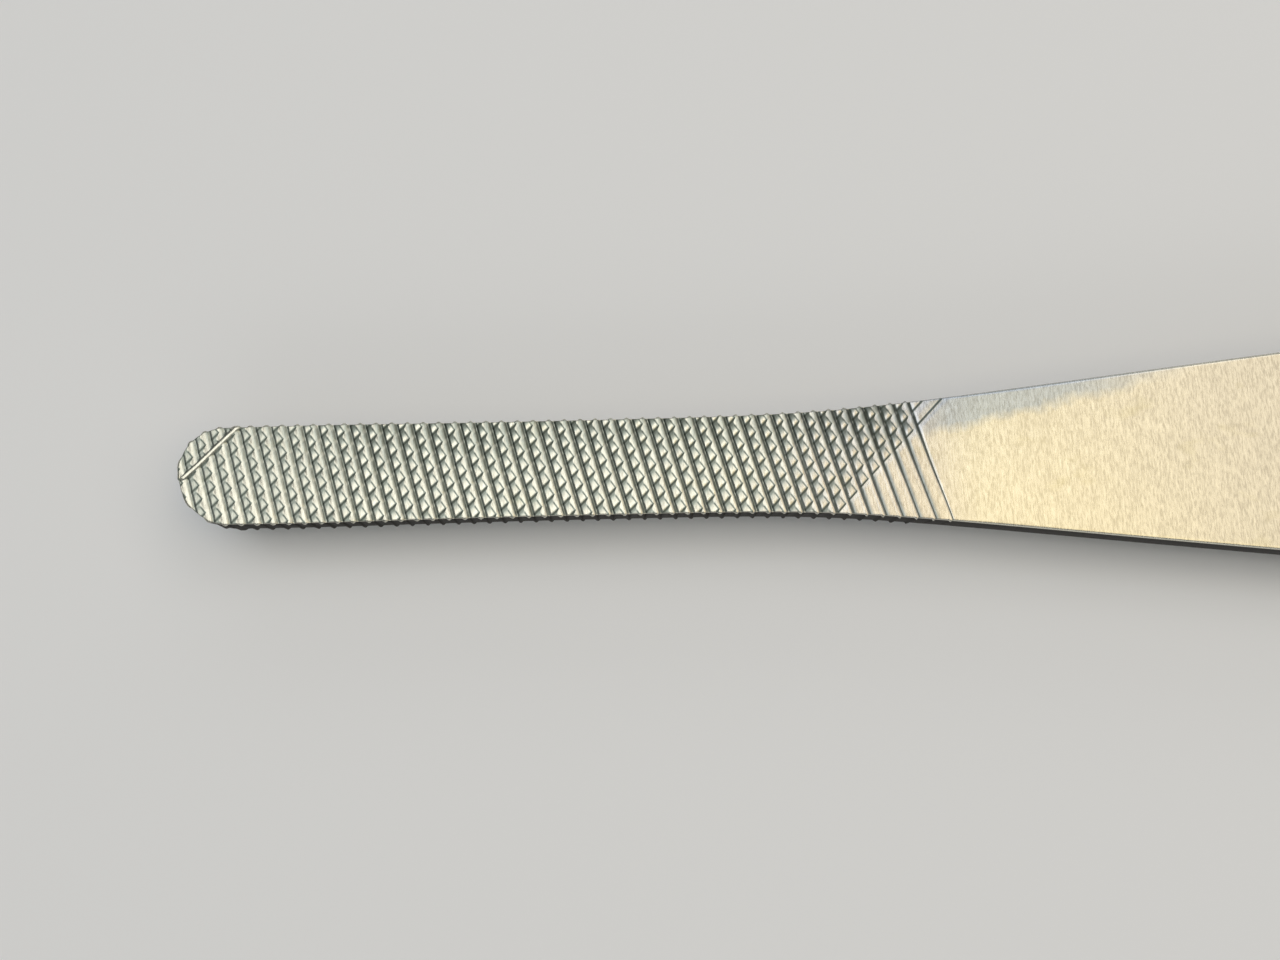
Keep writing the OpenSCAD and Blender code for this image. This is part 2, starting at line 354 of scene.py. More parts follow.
def tooth_relief(s, y, seed):
    """The height above the blade's flat face, the share of long burr, and what the steel's painted light and
    shade need: the two counts of lines, how wide the long cut's painted dark floor is in pitches, and the
    share of the one burr that stands proud, which is painted bright."""
    rng = np.random.default_rng(seed)
    tip = np.clip((7 - s) / 6, 0, 1)

    # The hand that cut the lines drifted, so they are nowhere quite evenly spaced
    wander = 0.02 * value_noise(s * 0.9 + 60, y * 0.6 + 5, rng) - 0.24 * np.exp(-((s - 20.8) / 7.5) ** 2)
    diagonal_line, k, past = count_lines(s, y, DIAGONAL_CUT, -DIAGONAL_LEAN, DIAGONAL_PITCH, wander)

    def diagonal_strength(line):
        uneven = unevenness(0.14, line * 0.61 + 3, s * 1.3 + line * 2.3, seed + 2)
        return np.where(line >= 0, np.clip(0.72 + 0.1 * line, 0, 1) * uneven, 0)

    diagonal_height, _ = cut_profile(
        DIAGONAL_PITCH - past, past, diagonal_strength(k + 1), diagonal_strength(k),
        depth=DIAGONAL_DEPTH * (1 - 0.6 * tip), rise=0.32, drop=0.085, burr_width=0.10, burr_height=0.012)

    # The long lines were cut last, so their burrs run on over the diagonal ones, in scallops near the tip
    crossing = 0.5 + 0.5 * np.cos(2 * np.pi * diagonal_line)
    crossed = diagonal_line > 0
    scallop = (0.006 + 0.010 * tip) * (crossing - 0.5) * crossed
    wander = 0.018 * value_noise(s * 0.7 + 9, y * 0.5 + 9, rng) + scallop
    long_line, k, past = count_lines(s, y, LONG_CUT, LONG_LEAN, LONG_PITCH, wander)

    def long_strength(line):
        uneven = unevenness(0.09, line * 0.37 + 40, y * 1.1 + line * 3.7 + 20, seed + 1)
        grown = 0.26 + 0.075 * line + 0.42 * (y + 2.4) / 4.8
        return np.where(line >= 0, np.clip(grown, 0.22, 1.1) * uneven, 0)

    # The chisel leant over at the heel, so there the cuts are wider towards one side
    off_centre = np.clip(y / BLADE_HALF, -1, 1)
    wide_side = np.clip(1 - k / 9, 0, 1) * np.clip((off_centre + 1) / 2, 0, 1)
    long_height, burr = cut_profile(
        LONG_PITCH - past, past, long_strength(k + 1), long_strength(k),
        depth=LONG_DEPTH * (1 - 0.45 * tip), rise=0.07 + 0.14 * wide_side, drop=0.12 - 0.04 * tip,
        burr_width=0.20 + 0.07 * tip, burr_height=0.010)
    over = np.clip(1.6 * burr, 0, 1)
    notch = DIAGONAL_DEPTH * (0.10 + 0.10 * tip) * crossing * crossed
    height = (1 - over) * np.minimum(long_height, diagonal_height) + over * (long_height - notch)

    # The painted dark shade on the floors of the long cuts widens towards one side and away from the heel,
    #     # where the first few are wide again
    widened = 0.055 + 0.195 * np.clip(0.15 + 0.08 * long_line, 0, 1)
    sided = 1 + 0.30 * off_centre + 0.22 * np.clip(off_centre, 0, 1)
    uneven = 1 + 0.12 * value_noise(long_line * 0.9 + 30, y * 2.1 + 30, rng)
    cut_width = widened * sided * (1 - 0.4 * tip) * uneven
    cut_width += 0.22 * np.clip(1 - np.abs(long_line - 3) / 5, 0, 1) * np.clip(0.8 * off_centre + 0.3, 0, 1)

    # One diagonal burr stands proud of everything near the tip
    aside = (diagonal_line - PROUD_LINE) * DIAGONAL_PITCH / PROUD_HALF
    proud = np.exp(-aside ** 4) * (s < PROUD_REACH) * (y > PROUD_SIDE)
    height = np.where(proud > 0.02, np.maximum(height, PROUD_HEIGHT * proud - PROUD_FOOT), height)
    burr = np.maximum(burr * (long_height > -0.01), proud)
    return {"height": height, "burr": burr, "long_line": long_line, "diagonal_line": diagonal_line,
            "cut_width": cut_width, "proud": proud}


# ---------------------------------------------------------------- materials
WHITE = (1.0, 1.0, 1.0)


def new_material(name):
    """A node material, with its tree, its Principled shader and the frame's coordinates in millimetres."""
    material = bpy.data.materials.new(name)
    material.use_nodes = True
    tree = material.node_tree
    shader = tree.nodes["Principled BSDF"]
    place = tree.nodes.new("ShaderNodeTexCoord").outputs["Object"]
    scaled = tree.nodes.new("ShaderNodeVectorMath")
    scaled.operation = "SCALE"
    scaled.inputs["Scale"].default_value = 1 / MM
    tree.links.new(place, scaled.inputs[0])
    return material, tree, shader, scaled.outputs[0]


def noise(tree, place, per_mm, detail=3.0, roughness=0.55, distortion=0.0):
    """Noise with its own frequency along each axis."""
    stretch = tree.nodes.new("ShaderNodeVectorMath")
    stretch.operation = "MULTIPLY"
    stretch.inputs[1].default_value = per_mm
    tree.links.new(place, stretch.inputs[0])
    texture = tree.nodes.new("ShaderNodeTexNoise")
    texture.inputs["Scale"].default_value = 1.0
    texture.inputs["Detail"].default_value = detail
    texture.inputs["Roughness"].default_value = roughness
    texture.inputs["Distortion"].default_value = distortion
    tree.links.new(stretch.outputs[0], texture.inputs["Vector"])
    return texture.outputs["Fac"]


def ramp(tree, value, stops):
    """A colour ramp: (position, colour) pairs."""
    node = tree.nodes.new("ShaderNodeValToRGB")
    elements = node.color_ramp.elements
    while len(elements) < len(stops):
        elements.new(0.5)
    for element, (position, colour) in zip(elements, stops):
        element.position = position
        element.color = (*colour, 1)
    tree.links.new(value, node.inputs[0])
    return node.outputs["Color"]


def remap(tree, value, from_low, from_high, to_low, to_high):
    """A number moved from one range to another, and held at its ends."""
    node = tree.nodes.new("ShaderNodeMapRange")
    for socket, number in zip(node.inputs[1:5], (from_low, from_high, to_low, to_high)):
        socket.default_value = number
    tree.links.new(value, node.inputs[0])
    return node.outputs[0]


def mix(tree, share, first, second, blend="MIX"):
    """Mixes two colours. share and the colours are sockets or plain values."""
    node = tree.nodes.new("ShaderNodeMix")
    node.data_type = "RGBA"
    node.blend_type = blend
    for socket, value in ((node.inputs[0], share), (node.inputs[6], first), (node.inputs[7], second)):
        if isinstance(value, bpy.types.NodeSocket):
            tree.links.new(value, socket)
        elif isinstance(value, tuple):
            socket.default_value = (*value, 1)
        else:
            socket.default_value = value
    return node.outputs[2]


def combine(tree, operation, first, second=0.0):
    """One or two numbers through one Math node."""
    node = tree.nodes.new("ShaderNodeMath")
    node.operation = operation
    for socket, value in zip(node.inputs, (first, second)):
        if isinstance(value, bpy.types.NodeSocket):
            tree.links.new(value, socket)
        else:
            socket.default_value = value
    return node.outputs[0]


def product(tree, first, *others):
    """Numbers multiplied together."""
    for other in others:
        first = combine(tree, "MULTIPLY", first, other)
    return first


def rest_of(tree, share):
    """What a share leaves of 1."""
    return combine(tree, "SUBTRACT", 1.0, share)


def rising(tree, value, start, end):
    """A share that goes from 0 at the start to 1 at the end."""
    return remap(tree, value, start, end, 0, 1)


def falling(tree, value, start, end):
    """A share that goes from 1 at the start to 0 at the end."""
    return remap(tree, value, start, end, 1, 0)


def tinted(tree, share, colour, tint):
    """A colour with a share of a tint multiplied in."""
    return mix(tree, share, colour, mix(tree, 1.0, colour, tint, "MULTIPLY"))


def bump(tree, height, distance_mm, strength, below=None):
    """A bumped normal, over the one below if there is one."""
    node = tree.nodes.new("ShaderNodeBump")
    node.inputs["Strength"].default_value = strength
    node.inputs["Distance"].default_value = distance_mm * MM
    tree.links.new(height, node.inputs["Height"])
    if below is not None:
        tree.links.new(below, node.inputs["Normal"])
    return node.outputs[0]


def mesh_value(tree, name):
    """A number that the mesh carries at its points."""
    node = tree.nodes.new("ShaderNodeAttribute")
    node.attribute_name = name
    return node.outputs["Fac"]


def along_and_across(tree, place):
    """A place's X and Y, as two numbers."""
    split = tree.nodes.new("ShaderNodeSeparateXYZ")
    tree.links.new(place, split.inputs[0])
    return split.outputs["X"], split.outputs["Y"]


def grey_ramp(tree, value, *stops):
    """A ramp of plain numbers: (position, number) pairs."""
    return ramp(tree, value, [(position, (number,) * 3) for position, number in stops])


def past_the_ridge(tree, long_phase, diagonal_phase, across, tip):
    """How far a point lies past the bright ridge that follows a long line, in pitches. The ridge is narrow
    where the diagonal lines cross it and wide in between."""
    edge = grey_ramp(tree, diagonal_phase, (0, 0.41), (0.2, 0.46), (0.6, 0.575), (0.78, 0.64), (0.88, 0.60),
                     (0.95, 0.47), (1, 0.41))
    # Near the tip the facets bite further into the ridges
    bite = product(tree, combine(tree, "SUBTRACT", edge, 0.60), combine(tree, "MULTIPLY", tip, 0.40))
    edge = combine(tree, "ADD", edge, bite)
    narrowed = product(tree, remap(tree, across, -2.2, 2.2, 0.12, 0.03), rest_of(tree, tip))
    return combine(tree, "SUBTRACT", long_phase, combine(tree, "SUBTRACT", edge, narrowed))


def facet_light(tree, diagonal_phase, past_ridge, across, tip):
    """The painted light of a ridge and of the kite-shaped facet behind it, whose edges are painted dark."""
    facet = grey_ramp(tree, diagonal_phase, (0, 0.13), (0.05, 0.15), (0.11, 0.70), (0.17, 1), (0.28, 1),
                      (0.40, 0.92), (0.55, 0.84), (0.66, 0.72), (0.73, 0.58), (0.80, 0.46), (0.88, 0.46),
                      (0.93, 0.22), (1, 0.13))
    dim = grey_ramp(tree, diagonal_phase, (0, 0.20), (0.05, 0.22), (0.12, 0.56), (0.20, 0.78), (0.50, 0.76),
                    (0.66, 0.62), (0.76, 0.50), (0.86, 0.66), (0.93, 0.40), (1, 0.20))
    facet = mix(tree, tip, facet, dim)
    off_rim = combine(tree, "ABSOLUTE", combine(tree, "SUBTRACT", past_ridge, 0.05))
    rim_length = grey_ramp(tree, diagonal_phase, (0.08, 0), (0.15, 1), (0.58, 1), (0.72, 0))
    rim = product(tree, remap(tree, off_rim, 0.02, 0.07, 0.62, 0), rim_length)
    # Towards one edge only the lower half of each facet is painted bright
    upper_half = grey_ramp(tree, diagonal_phase, (0.3, 0), (0.55, 1))
    upper = product(tree, remap(tree, across, 0.0, 2.2, 0, 0.55), rest_of(tree, tip), upper_half)
    facet = product(tree, facet, rest_of(tree, rim), rest_of(tree, upper))
    return mix(tree, falling(tree, past_ridge, -0.035, 0.025), facet, (0.96, 0.96, 0.96))


def cut_shade(tree, long_line, diagonal_line, diagonal_phase, cut_width, tip):
    """How much painted shade lies on the floor of a long cut."""
    nearest = combine(tree, "SUBTRACT", combine(tree, "FRACT", combine(tree, "ADD", long_line, 0.5)), 0.5)
    aside = rising(tree, combine(tree, "DIVIDE", nearest, cut_width), -1, 2)
    floor = grey_ramp(tree, aside, (0.19, 0), (0.25, 0.80), (0.31, 1), (0.36, 1), (0.42, 0.85), (0.52, 0.70),
                      (0.58, 0.58), (0.63, 0.46), (0.69, 0.30), (0.76, 0.15), (0.84, 0))
    # The diagonal burrs are painted as a paler tick across the painted shade of each long cut's floor
    tick = grey_ramp(tree, diagonal_phase, (0, 0.8), (0.08, 1), (0.72, 1), (0.83, 0.6), (0.92, 0.6), (1, 0.8))
    tick = mix(tree, rising(tree, diagonal_line, 0, 0.1), WHITE, tick)
    # Wide cuts are paler than narrow ones, and the tip's are paler still, but the heel's stay dark
    deep = remap(tree, cut_width, 0.07, 0.20, 0.97, 0.66)
    deep = combine(tree, "ADD", deep, combine(tree, "MULTIPLY", tip, -0.40))
    deep = combine(tree, "MAXIMUM", deep, remap(tree, long_line, 3, 9, 0.90, 0.5))
    floor = product(tree, floor, tick, deep)
    # Where the diagonal cut has ended, the land before each long line is painted softly darker, a painted
    # shade
    dip_shade = product(tree, remap(tree, nearest, -0.30, -0.04, 0, 0.42), falling(tree, nearest, -0.02, 0.02),
                  falling(tree, diagonal_line, -0.3, 0.1), rising(tree, long_line, 0.4, 0.7))
    floor = combine(tree, "MAXIMUM", floor, dip_shade)
    return product(tree, floor, rising(tree, long_line, -0.5, -0.45))


def tooth_light(tree, along, across):
    """The painted light and shade of the toothed face, as a share of bright colour, from the counts of lines
    that its mesh carries. Each cell between the lines has a painted bright ridge, a kite-shaped facet, and
    the painted dark floor of the long cut."""
    long_line, diagonal_line = mesh_value(tree, "long_line"), mesh_value(tree, "diagonal_line")
    cut_width, proud = mesh_value(tree, "cut_width"), mesh_value(tree, "proud")
    tip = falling(tree, along, TIP_X + 2, TIP_X + 9)
    long_phase, diagonal_phase = (combine(tree, "FRACT", line) for line in (long_line, diagonal_line))
    past_ridge = past_the_ridge(tree, long_phase, diagonal_phase, across, tip)
    facet = facet_light(tree, diagonal_phase, past_ridge, across, tip)
    # Behind the last long line the diagonal ones are plain thin cuts, painted as dark lines
    plain = grey_ramp(tree, diagonal_phase, (0, 0.2), (0.10, 0.2), (0.16, 1), (0.93, 1), (0.97, 0.3))
    facet = mix(tree, rising(tree, long_line, -0.12, 0.0), plain, facet)
    light = mix(tree, rising(tree, diagonal_line, -0.08, -0.02), WHITE, facet)
    shade = cut_shade(tree, long_line, diagonal_line, diagonal_phase, cut_width, tip)
    # The proud burr's share is painted fully bright: a painted highlight
    return combine(tree, "MAXIMUM", product(tree, light, rest_of(tree, shade)), proud)


def bare_steel(tree, place, along, across, streaks, hairs):
    """The colour of clean steel: brushed, lightly stained, with a cooler painted reflection on the flare
    beside the teeth, and the last teeth tinted cooler.
    """
    blotches = noise(tree, place, (0.9, 0.7, 0.9), detail=3)
    stain = noise(tree, place, (0.32, 0.6, 0.5), detail=3, roughness=0.6)
    colour = ramp(tree, streaks, [(0.36, (0.45, 0.435, 0.37)), (0.50, (0.60, 0.585, 0.50)),
                                  (0.64, (0.70, 0.685, 0.59))])
    colour = mix(tree, remap(tree, hairs, 0.30, 0.66, 0.26, 0), colour, (0.42, 0.405, 0.345))
    colour = mix(tree, remap(tree, blotches, 0.3, 0.7, 0, 0.12), colour, (0.44, 0.43, 0.385))
    colour = mix(tree, remap(tree, stain, 0.60, 0.74, 0, 0.28), colour, (0.40, 0.375, 0.20))

    # A slanting area beside the teeth is painted a little cooler and darker than the rest of the flare: a
    # painted reflection
    slope, offset = 0.22, 1.35
    foot = combine(tree, "MULTIPLY", combine(tree, "SUBTRACT", along, TIP_X + 35), slope)
    inside = combine(tree, "SUBTRACT", across, combine(tree, "ADD", foot, offset))
    inside = combine(tree, "ADD", inside, remap(tree, blotches, 0.3, 0.7, -0.25, 0.25))
    cool_reflection_patch = product(tree, rising(tree, inside, -0.45, 0.15), rising(tree, along, TIP_X + 33, TIP_X + 36),
                    falling(tree, along, TIP_X + 42, TIP_X + 48))
    colour = tinted(tree, cool_reflection_patch, colour, (0.66, 0.755, 0.97))
    # The last teeth are tinted a little cooler and darker
    heel = product(tree, rising(tree, along, TIP_X + 26, TIP_X + 31),
                   falling(tree, along, TIP_X + 34.5, TIP_X + 37))
    return tinted(tree, heel, colour, (0.88, 0.87, 0.94))


def steel_material():
    """Satin steel, brushed across the blade, with painted light on the ridges, painted shade and grime in the
    cuts, and sides painted dark as shade.
    """
    material, tree, shader, place = new_material("cross_brushed_steel")
    along, across = along_and_across(tree, place)
    streaks = noise(tree, place, (15, 2.8, 6), detail=3, roughness=0.6, distortion=0.4)
    hairs = noise(tree, place, (19, 0.8, 6), detail=2, roughness=0.5)
    grain = noise(tree, place, (22, 22, 22), detail=3, roughness=0.7)
    face = mesh_value(tree, "face")
    light = mix(tree, face, WHITE, tooth_light(tree, along, across))

    # Where the painted light is low the colour turns to a dark painted shade with a little grime, and the
    # painted shade is tinted cooler
    painted_shade_and_grime = ramp(tree, grain, [(0.3, (0.020, 0.020, 0.014)), (0.7, (0.060, 0.059, 0.044))])
    colour = mix(tree, light, painted_shade_and_grime, bare_steel(tree, place, along, across, streaks, hairs))
    cool_shade = ramp(tree, light, [(0.15, (0.80, 0.95, 1.0)), (0.62, (0.86, 0.955, 1.0)), (0.95, WHITE)])
    colour = mix(tree, 1.0, colour, cool_shade, "MULTIPLY")
    # The rounded edges are painted brighter: a painted highlight along them
    colour = mix(tree, remap(tree, face, 0.60, 0.98, 0.6, 0), colour, (0.80, 0.78, 0.68))
    # The blade's sides are painted nearly black and dull, as painted shade, but the tang's edge was ground
    # bright along with the handle
    in_the_open = falling(tree, along, TIP_X + HANDLE_START - 1.5, TIP_X + HANDLE_START + 0.5)
    side = product(tree, falling(tree, face, 0.03, 0.22), in_the_open)
    colour = mix(tree, side, colour, (0.030, 0.028, 0.026))
    tree.links.new(colour, shader.inputs["Base Color"])
    tree.links.new(rest_of(tree, side), shader.inputs["Metallic"])
    shader.inputs["Specular IOR Level"].default_value = 0.15

    rough = remap(tree, streaks, 0.25, 0.75, 0.22, 0.30)
    rough = combine(tree, "ADD", rough, remap(tree, light, 0.2, 1.0, 0.22, 0.0))
    rough = combine(tree, "MAXIMUM", rough, combine(tree, "MULTIPLY", side, 0.65))
    tree.links.new(rough, shader.inputs["Roughness"])
    relief = bump(tree, streaks, 0.002, 0.4)
    relief = bump(tree, hairs, 0.002, 0.4, relief)
    relief = bump(tree, grain, 0.002, 0.3, relief)
    tree.links.new(relief, shader.inputs["Normal"])
    return material


def wood_material():
    """Oiled walnut, with its grain along the handle."""
    material, tree, shader, place = new_material("oiled_walnut")
    figure = noise(tree, place, (0.045, 0.55, 0.9), detail=4, roughness=0.5, distortion=0.9)
    bands = tree.nodes.new("ShaderNodeTexWave")
    bands.bands_direction = "Y"
    bands.inputs["Scale"].default_value = 0.28
    bands.inputs["Distortion"].default_value = 5.5
    bands.inputs["Detail"].default_value = 3.0
    bands.inputs["Detail Scale"].default_value = 0.8
    squeeze = tree.nodes.new("ShaderNodeVectorMath")
    squeeze.operation = "MULTIPLY"
    squeeze.inputs[1].default_value = (0.07, 1.0, 1.2)
    tree.links.new(place, squeeze.inputs[0])
    tree.links.new(squeeze.outputs[0], bands.inputs["Vector"])
    fibres = noise(tree, place, (0.5, 9, 9), detail=3, roughness=0.6)
    pores = noise(tree, place, (0.9, 7.5, 7.5), detail=2, roughness=0.45)

    colour = ramp(tree, figure, [(0.28, (0.085, 0.038, 0.018)), (0.48, (0.20, 0.098, 0.046)),
                                 (0.62, (0.31, 0.165, 0.080)), (0.8, (0.40, 0.235, 0.125))])
    colour = mix(tree, remap(tree, bands.outputs["Fac"], 0.2, 0.9, 0.0, 0.42), colour, (0.105, 0.048, 0.022))
    colour = mix(tree, remap(tree, fibres, 0.4, 0.75, 0, 0.35), colour, (0.42, 0.26, 0.14))
    pore_share = remap(tree, pores, 0.60, 0.68, 0, 0.8)
    colour = mix(tree, pore_share, colour, (0.030, 0.014, 0.008))
    tree.links.new(colour, shader.inputs["Base Color"])
    rough = remap(tree, fibres, 0.3, 0.7, 0.36, 0.52)
    tree.links.new(rough, shader.inputs["Roughness"])
    shader.inputs["Coat Weight"].default_value = 0.12
    shader.inputs["Coat Roughness"].default_value = 0.3
    relief = bump(tree, fibres, 0.02, 0.35)
    relief = bump(tree, rest_of(tree, pore_share), 0.05, 0.6, relief)
    tree.links.new(relief, shader.inputs["Normal"])
    return material


def fibre_material():
    """Red vulcanised fibre, with its cut edge slightly furry."""
    material, tree, shader, place = new_material("red_fibre")
    specks = noise(tree, place, (6, 6, 18), detail=4, roughness=0.7)
    colour = ramp(tree, specks, [(0.3, (0.16, 0.022, 0.016)), (0.55, (0.30, 0.05, 0.035)),
                                 (0.8, (0.42, 0.10, 0.07))])
    tree.links.new(colour, shader.inputs["Base Color"])
    tree.links.new(remap(tree, specks, 0.3, 0.7, 0.55, 0.75), shader.inputs["Roughness"])
    tree.links.new(bump(tree, specks, 0.02, 0.5), shader.inputs["Normal"])
    return material


def brass_material(name, scratches_per_mm):
    """Satin brass with fine scratches and a little tarnish."""
    material, tree, shader, place = new_material(name)
    scratches = noise(tree, place, scratches_per_mm, detail=3, roughness=0.6)
    tarnish = noise(tree, place, (0.7, 0.7, 0.7), detail=4, roughness=0.6)
    colour = ramp(tree, scratches, [(0.3, (0.66, 0.47, 0.20)), (0.55, (0.80, 0.60, 0.29)),
                                    (0.8, (0.90, 0.73, 0.42))])
    colour = mix(tree, remap(tree, tarnish, 0.45, 0.75, 0, 0.6), colour, (0.42, 0.27, 0.11))
    tree.links.new(colour, shader.inputs["Base Color"])
    shader.inputs["Metallic"].default_value = 1.0
    tree.links.new(remap(tree, scratches, 0.25, 0.75, 0.22, 0.40), shader.inputs["Roughness"])
    tree.links.new(bump(tree, scratches, 0.01, 0.4), shader.inputs["Normal"])
    return material


def finish_piece(piece, material, slot, *nodes):
    """Gives a piece its material and body, and hides the CAD nodes that it stands for. slot is not used."""
    piece.data.materials.append(material)
    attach(piece, "root")
    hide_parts(*nodes)


# ---------------------------------------------------------------- the steel
def toothed_shear(t):
    """The lean of the grid's lines: with the long tooth lines, and square across further back."""
    ease = np.clip((t - (LONG_CUT + 2)) / 14, 0, 1)
    return math.tan(LONG_LEAN) * (1 - ease * ease * (3 - 2 * ease))


def steel_stations():
    """Lines placed where each long tooth needs them, and then ever further apart."""
    phases = np.array([0, 0.055, 0.125, 0.20, 0.28, 0.37, 0.46, 0.55, 0.64, 0.73, 0.81, 0.88, 0.94])
    lines = int(LONG_CUT / LONG_STEP) + 3
    teeth = (LONG_CUT - np.arange(lines)[:, None] * LONG_STEP + phases * LONG_STEP).ravel()
    shank = LONG_CUT + LONG_STEP * (1 + 0.15 * np.arange(1, 12))
    shank = np.concatenate([shank, np.arange(shank[-1] + 0.6, HANDLE_START, 0.8)])
    tang = np.arange(HANDLE_START, TOOL_LENGTH - BUTT_REACH, 1.5)
    butt = TOOL_LENGTH - BUTT_REACH * (1 - np.cos(np.linspace(np.pi / 2, 0, 18)))
    return np.unique(np.concatenate([teeth, shank, tang, butt]).round(6))


def through_holes(top, bottom):
    """Plain holes for the rivets' shanks and the lanyard tube."""
    radii = [(station, BARREL_RADIUS) for station in RIVETS.values()] + [(TUBE_STATION, TUBE_RADIUS)]
    return [(station, [(radius + FIT_GAP, z) for z in (top, bottom)]) for station, radius in radii]


def make_steel():
    """The blade, its flared shank and its tang, which has finer edges inside the handle."""
    loop = outline(0, TIP_REACH, TOOL_LENGTH, BUTT_REACH)
    edge_in = blend_at(LONG_CUT + 1.5, 0.8, 0.045, 0.16)
    edge_down = blend_at(LONG_CUT + 1.5, 0.8, 0.06, 0.09)
    handle = blend_at(HANDLE_START + 0.6, 0.35, 1.0, 0.12)
    plate = Plate(loop, steel_stations(), 128, toothed_shear, lambda s: edge_in(s) * handle(s))
    s, y = plate.grid[..., 0], plate.grid[..., 1]
    upper, lower = tooth_relief(s, y, 11), tooth_relief(s, -y, 23)
    layers = {key: (upper[key], lower[key]) for key in upper}
    relief = layers.pop("height")
    bulge = [BURR_BULGE * share for share in layers.pop("burr")]
    edge = ((18, 36, 54, 72, 90), lambda s: edge_down(s) * handle(s))
    holes = through_holes(STEEL_TOP, STEEL_BOTTOM)
    return plate.build("steel_blade_and_tang", STEEL_TOP, STEEL_BOTTOM, edge, edge, holes, relief, bulge,
                       layers)


# ---------------------------------------------------------------- the handle
def handle_stations(spacing):
    """Lines across the handle, closer together at its round ends."""
    front = HANDLE_START + FRONT_REACH * (1 - np.cos(np.linspace(0, np.pi / 2, 16)))
    middle = np.arange(HANDLE_START + FRONT_REACH, TOOL_LENGTH - BUTT_REACH, spacing)
    butt = TOOL_LENGTH - BUTT_REACH * (1 - np.cos(np.linspace(np.pi / 2, 0, 30)))
    return np.unique(np.concatenate([front, middle, butt]).round(6))


handle_loop = outline(HANDLE_START, FRONT_REACH, TOOL_LENGTH, BUTT_REACH)


def make_liner(name, node):
    """A thin sheet between the tang and a scale."""
    bottom, top = LAYERS[node]
    plate = Plate(handle_loop, handle_stations(1.0), 40)
    edge = ((45, 90), steady(0.02))
    return plate.build(name, top, bottom, edge, edge, through_holes(top, bottom), sharp_angle=35)


def make_scale(name, node):
    """A wooden scale with a softly rounded outer edge, flat where the rivets are flush."""
    bottom, top = LAYERS[node]
    round_in, round_down, lip = 2.1, 1.35, 0.05
    plate = Plate(handle_loop, handle_stations(0.4), 30, edge_in=steady(round_in))
    outer, inner, sink = (top, bottom, -1) if node == "upper_scale" else (bottom, top, 1)
    head, barrel, tube = HEAD_RADIUS + FIT_GAP, BARREL_RADIUS + FIT_GAP, TUBE_RADIUS + FIT_GAP
    seat = outer + sink * HEAD_THICKNESS
    rivet_hole = [(head + lip, outer), (head, outer + sink * lip), (head, seat), (barrel, seat),
                  (barrel, inner)]
    tube_hole = [(tube + lip, outer), (tube, outer + sink * lip), (tube, inner)]
    # Holes and edges are listed from the top down, so the lower scale's are turned round
    order = -sink
    holes = [(station, rivet_hole[::order]) for station in RIVETS.values()]
    holes.append((TUBE_STATION, tube_hole[::order]))
    rounded = ((11, 22, 33, 45, 57, 68, 79, 90), steady(round_down))
    square = ((90,), steady(0.0))
    edges = (rounded, square)[::order]
    return plate.build(name, top, bottom, *edges, holes, sharp_angle=35)


def arc(centre_r, centre_z, radius, start, end, steps=5):
    """Points of a small round edge on a turned piece's profile, angles in degrees."""
    angles = np.radians(np.linspace(start, end, steps))
    return [(centre_r + radius * math.cos(a), centre_z + radius * math.sin(a)) for a in angles]


def make_barrel(name, station):
    """The female half of a rivet, head down, with its head sanded flush with the lower scale."""
    profile = list(HEAD_DISH)
    profile += arc(HEAD_RADIUS - RIVET_EDGE, RIVET_EDGE, RIVET_EDGE, -90, 0)
    profile += [(HEAD_RADIUS, HEAD_THICKNESS), (BARREL_RADIUS, HEAD_THICKNESS)]
    profile += arc(BARREL_RADIUS - RIVET_EDGE, BARREL_TOP - RIVET_EDGE, RIVET_EDGE, 0, 90)
    profile += [(PIN_RADIUS + FIT_GAP, BARREL_TOP), (PIN_RADIUS + FIT_GAP, BARREL_FLOOR), (0, BARREL_FLOOR)]
    return lathe(name, station, profile)


def make_pin(name, station):
    """The male half of a rivet, head up, with its head sanded flush with the upper scale."""
    under = HANDLE_TOP - HEAD_THICKNESS
    profile = [(0, PIN_BOTTOM)]
    profile += arc(PIN_RADIUS - RIVET_EDGE, PIN_BOTTOM + RIVET_EDGE, RIVET_EDGE, -90, 0)
    profile += [(PIN_RADIUS, under), (HEAD_RADIUS, under)]
    profile += arc(HEAD_RADIUS - RIVET_EDGE, HANDLE_TOP - RIVET_EDGE, RIVET_EDGE, 0, 90)
    profile += [(radius, HANDLE_TOP - sunk) for radius, sunk in reversed(HEAD_DISH)]
    return lathe(name, station, profile)


def make_tube(name, station):
    """The lanyard tube, with both its ends slightly rounded."""
    edge = 0.4 * (TUBE_RADIUS - TUBE_BORE)
    profile = arc(TUBE_RADIUS - edge, edge, edge, -90, 0)
    profile += arc(TUBE_RADIUS - edge, HANDLE_TOP - edge, edge, 0, 90)
    profile += arc(TUBE_BORE + edge, HANDLE_TOP - edge, edge, 90, 180)
    profile += arc(TUBE_BORE + edge, edge, edge, 180, 270)
    return lathe(name, station, profile, closed=True)


steel, wood, fibre = steel_material(), wood_material(), fibre_material()
rivet_brass = brass_material("rivet_brass", (0.9, 16, 16))
tube_brass = brass_material("tube_brass", (9, 9, 1.2))

finish_piece(make_steel(), steel, "file_steel", "file_blade")
for side in ("lower", "upper"):
    finish_piece(make_liner(side + "_fibre_liner", side + "_liner"), fibre, "liner_fibre", side + "_liner")
    finish_piece(make_scale(side + "_wooden_scale", side + "_scale"), wood, "scale_wood", side + "_scale")
for place, station in RIVETS.items():
    barrel = make_barrel(place + "_brass_barrel", station)
    finish_piece(barrel, rivet_brass, "rivet_brass", place + "_rivet_barrel")
    pin = make_pin(place + "_brass_pin", station)
    finish_piece(pin, rivet_brass, "rivet_brass", place + "_rivet_pin")
finish_piece(make_tube("brass_lanyard_tube", TUBE_STATION), tube_brass, "tube_brass", "lanyard_tube")


